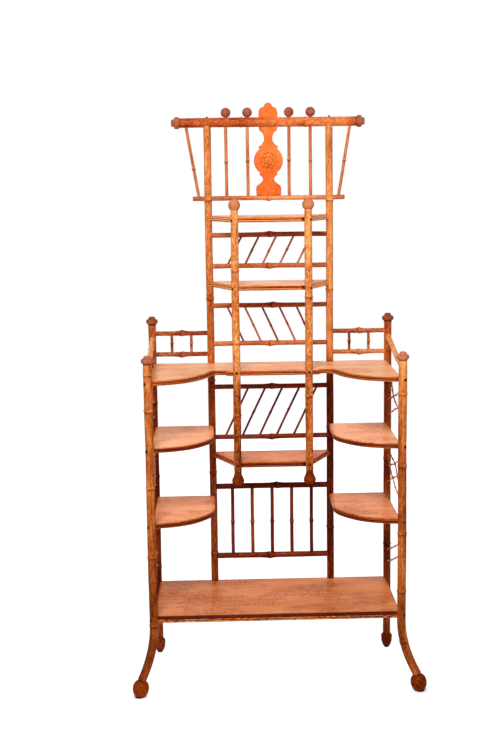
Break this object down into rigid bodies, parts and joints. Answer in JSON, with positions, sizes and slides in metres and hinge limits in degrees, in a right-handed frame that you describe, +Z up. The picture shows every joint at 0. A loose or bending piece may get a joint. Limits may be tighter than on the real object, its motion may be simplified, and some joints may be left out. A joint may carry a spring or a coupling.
{
  "type": "etagere",
  "caption": "Tall free-standing bamboo etagere: centre back with galleries and a splat crest, hanging front bay, quarter-round wing shelves and sabre front legs.",
  "frame": {"origin": "on the floor, under the middle of the overall box", "axes": "+Z up, +X to the viewer's right, -Y towards the front, where the sabre legs and the hanging posts are"},
  "size_m": [0.8626, 0.3986, 1.703],
  "materials": {
    "bamboo_culm": "varnished scorched bamboo",
    "bamboo_rail": "varnished scorched bamboo",
    "bamboo_spindle": "varnished scorched bamboo",
    "turned_wood": "stained and varnished",
    "fretted_board": "stained and varnished",
    "shelf_board": "varnished, worn",
    "split_bamboo": "varnished scorched bamboo",
    "cane": "dark cane"
  },
  "bodies": {
    "root": {"back_foot_left": "turned_wood", "back_foot_right": "turned_wood", "back_post_cap_left": "turned_wood", "back_post_cap_right": "turned_wood", "back_post_left": "bamboo_culm", "back_post_right": "bamboo_culm", "ball_finial_left": "turned_wood", "ball_finial_right": "turned_wood", "bottom_shelf": "shelf_board", "bottom_shelf_edging": "split_bamboo", "centre_post_left": "bamboo_culm", "centre_post_right": "bamboo_culm", "crest_end_cap_left": "turned_wood", "crest_end_cap_right": "turned_wood", "crest_lower_rail": "bamboo_rail", "crest_rail": "bamboo_rail", "crest_spindle_1": "bamboo_spindle", "crest_spindle_2": "bamboo_spindle", "crest_spindle_3": "bamboo_spindle", "crest_spindle_4": "bamboo_spindle", "crest_splat": "fretted_board", "drop_finial_left": "turned_wood", "drop_finial_right": "turned_wood", "first_gallery_lower_rail": "bamboo_rail", "first_gallery_upper_rail": "bamboo_rail", "front_foot_left": "turned_wood", "front_foot_right": "turned_wood", "front_post_cap_left": "turned_wood", "front_post_cap_right": "turned_wood", "front_post_left": "bamboo_culm", "front_post_right": "bamboo_culm", "hanging_post_left": "bamboo_culm", "hanging_post_right": "bamboo_culm", "lower_bay_shelf": "shelf_board", "lower_wing_shelf_left": "shelf_board", "lower_wing_shelf_right": "shelf_board", "main_shelf": "shelf_board", "middle_bay_shelf": "shelf_board", "middle_wing_shelf_left": "shelf_board", "middle_wing_shelf_right": "shelf_board", "second_gallery_lower_rail": "bamboo_rail", "second_gallery_upper_rail": "bamboo_rail", "side_arm_left": "bamboo_culm", "side_arm_right": "bamboo_culm", "side_lattice_lower_back_left": "cane", "side_lattice_lower_back_right": "cane", "side_lattice_lower_front_left": "cane", "side_lattice_lower_front_right": "cane", "side_lattice_middle_left": "cane", "side_lattice_middle_right": "cane", "side_lattice_upper_left": "cane", "side_lattice_upper_right": "cane", "third_gallery_lower_rail": "bamboo_rail", "third_gallery_upper_rail": "bamboo_rail", "upper_bay_shelf": "shelf_board", "upright_gallery_lower_rail": "bamboo_rail", "upright_gallery_upper_rail": "bamboo_rail", "wing_gallery_left": "bamboo_rail", "wing_gallery_right": "bamboo_rail"}
  },
  "joints": []
}
